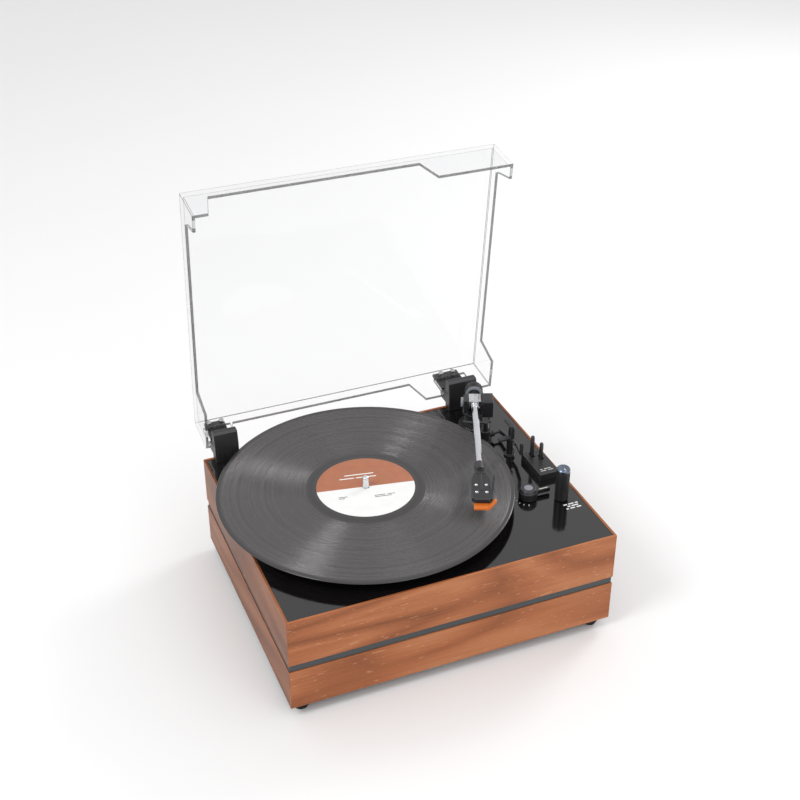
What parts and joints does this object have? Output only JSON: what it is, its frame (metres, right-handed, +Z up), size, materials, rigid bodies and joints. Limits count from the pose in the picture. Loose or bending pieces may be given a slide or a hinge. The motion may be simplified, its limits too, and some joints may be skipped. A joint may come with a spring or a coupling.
{
  "type": "turntable record player",
  "caption": "Belt-drive record player: two-tone wooden plinth, gloss deck, straight tonearm, record on its platter, and a hinged clear dust cover.",
  "frame": {"origin": "centre of the whole player's footprint with the cover open as at rest, on the surface that the feet stand on", "axes": "+X to the right seen from the front, +Y to the rear, +Z up"},
  "size_m": [0.356, 0.3238, 0.4147],
  "materials": {
    "wood": "satin",
    "band": "matte",
    "deck": "gloss",
    "panel": "matte",
    "rubber": "matte",
    "steel": "brushed",
    "brass": "satin",
    "gold_plate": "polished",
    "castings": "satin",
    "platter_metal": "satin",
    "chrome": "polished",
    "mat": "matte",
    "vinyl": "gloss",
    "label": "satin",
    "circuit": "satin",
    "hinge_plastic": "satin",
    "clear": "gloss",
    "clear_rubber": "satin",
    "black_plastic": "satin",
    "stylus_plastic": "gloss"
  },
  "bodies": {
    "plinth": {"upper_board_front": "wood", "upper_board_rear": "wood", "upper_board_left": "wood", "upper_board_right": "wood", "lower_board_front": "wood", "lower_board_rear": "wood", "lower_board_left": "wood", "lower_board_right": "wood", "accent_band": "band", "top_plate": "deck", "base_panel": "panel", "base_screws": "steel", "feet": "rubber", "foot_screws": "steel", "motor": "steel", "motor_bracket": "steel", "motor_grommets": "rubber", "motor_screws": "steel", "drive_belt": "rubber", "bearing_housing": "castings", "bearing_bush": "brass", "main_board": "circuit", "rear_panel": "panel", "rca_jacks": "gold_plate", "power_inlet": "panel", "hinge_base_left": "hinge_plastic", "hinge_base_right": "hinge_plastic", "hinge_pins": "steel", "tonearm_base": "black_plastic", "arm_rest": "black_plastic", "cue_housing": "black_plastic", "volume_pot": "steel", "selector_switch": "steel", "toggle_housing": "black_plastic"},
    "platter": {"platter": "platter_metal", "slip_mat": "mat", "record": "vinyl", "record_label": "label", "spindle": "chrome"},
    "pulley": {"motor_pulley": "brass"},
    "cover": {"hinge_leaf_left": "hinge_plastic", "hinge_leaf_right": "hinge_plastic", "hinge_screws": "steel", "dust_cover": "clear", "lid_bumpers": "clear_rubber"},
    "yoke": {"arm_yoke": "black_plastic"},
    "arm": {"arm_shaft": "chrome", "arm_tube": "chrome", "headshell": "black_plastic", "cartridge": "black_plastic", "stylus": "stylus_plastic"},
    "counterweight": {"counterweight": "black_plastic"},
    "arm_lock": {"arm_lock": "black_plastic"},
    "cue_lever": {"cue_lever": "black_plastic"},
    "cue_lift": {"cue_lift": "black_plastic"},
    "volume_knob": {"volume_knob": "black_plastic"},
    "selector_knob": {"selector_knob": "black_plastic"},
    "speed_toggle": {"speed_toggle": "black_plastic"},
    "autostop_toggle": {"autostop_toggle": "black_plastic"},
    "power_rocker": {"power_rocker": "panel"}
  },
  "joints": [
    {"name": "platter_spin", "type": "hinge", "parent": "plinth", "child": "platter", "pos_m": [-0.027, -0.01042, 0.1162], "axis": [0, 0, 1], "continuous": true},
    {"name": "pulley_spin", "type": "hinge", "parent": "plinth", "child": "pulley", "pos_m": [-0.10061, 0.03208, 0.1162], "axis": [0, 0, 1], "continuous": true},
    {"name": "cover_open", "type": "hinge", "parent": "plinth", "child": "cover", "pos_m": [0.008, 0.12658, 0.127], "axis": [1, 0, 0], "range_deg": [-3, 84]},
    {"name": "arm_swing", "type": "hinge", "parent": "plinth", "child": "yoke", "pos_m": [0.132, 0.07108, 0.1162], "axis": [0, 0, 1], "range_deg": [-20.5, 23.6]},
    {"name": "arm_tilt", "type": "hinge", "parent": "yoke", "child": "arm", "pos_m": [0.132, 0.07108, 0.1457], "axis": [0.9232, -0.3843, 0], "range_deg": [0, 1.2]},
    {"name": "counterweight_slide", "type": "slide", "parent": "arm", "child": "counterweight", "axis": [0.3843, 0.9232, 0], "range_m": [-0.003, 0.003]},
    {"name": "cue_lever_tilt", "type": "hinge", "parent": "plinth", "child": "cue_lever", "pos_m": [0.12963, 0.03717, 0.1242], "axis": [1, 0, 0], "range_deg": [0, 12]},
    {"name": "cue_lift_slide", "type": "slide", "parent": "plinth", "child": "cue_lift", "axis": [0, 0, 1], "range_m": [-0.0015, 0]},
    {"name": "arm_lock_swivel", "type": "hinge", "parent": "plinth", "child": "arm_lock", "pos_m": [0.14375, 0.00408, 0.1507], "axis": [0, 0, 1], "range_deg": [0, 90]},
    {"name": "volume_turn", "type": "hinge", "parent": "plinth", "child": "volume_knob", "pos_m": [0.1565, -0.08642, 0.1162], "axis": [0, 0, 1], "range_deg": [-150, 150]},
    {"name": "selector_turn", "type": "hinge", "parent": "plinth", "child": "selector_knob", "pos_m": [0.126, -0.07192, 0.1162], "axis": [0, 0, 1], "range_deg": [-20, 40]},
    {"name": "speed_tilt", "type": "hinge", "parent": "plinth", "child": "speed_toggle", "pos_m": [0.1587, -0.01572, 0.1197], "axis": [1, 0, 0], "range_deg": [-12, 12]},
    {"name": "autostop_tilt", "type": "hinge", "parent": "plinth", "child": "autostop_toggle", "pos_m": [0.1657, -0.02272, 0.1197], "axis": [1, 0, 0], "range_deg": [-12, 12]},
    {"name": "power_rock", "type": "hinge", "parent": "plinth", "child": "power_rocker", "pos_m": [-0.003, 0.11608, 0.091], "axis": [0, 0, 1], "range_deg": [-5, 5]}
  ],
  "couplings": [
    {"joint": "pulley_spin", "follows": "platter_spin", "ratio": 8.6667},
    {"joint": "arm_tilt", "follows": "cue_lever_tilt", "ratio": 0.1},
    {"joint": "cue_lift_slide", "follows": "cue_lever_tilt", "m_per_rad": -0.007162}
  ]
}
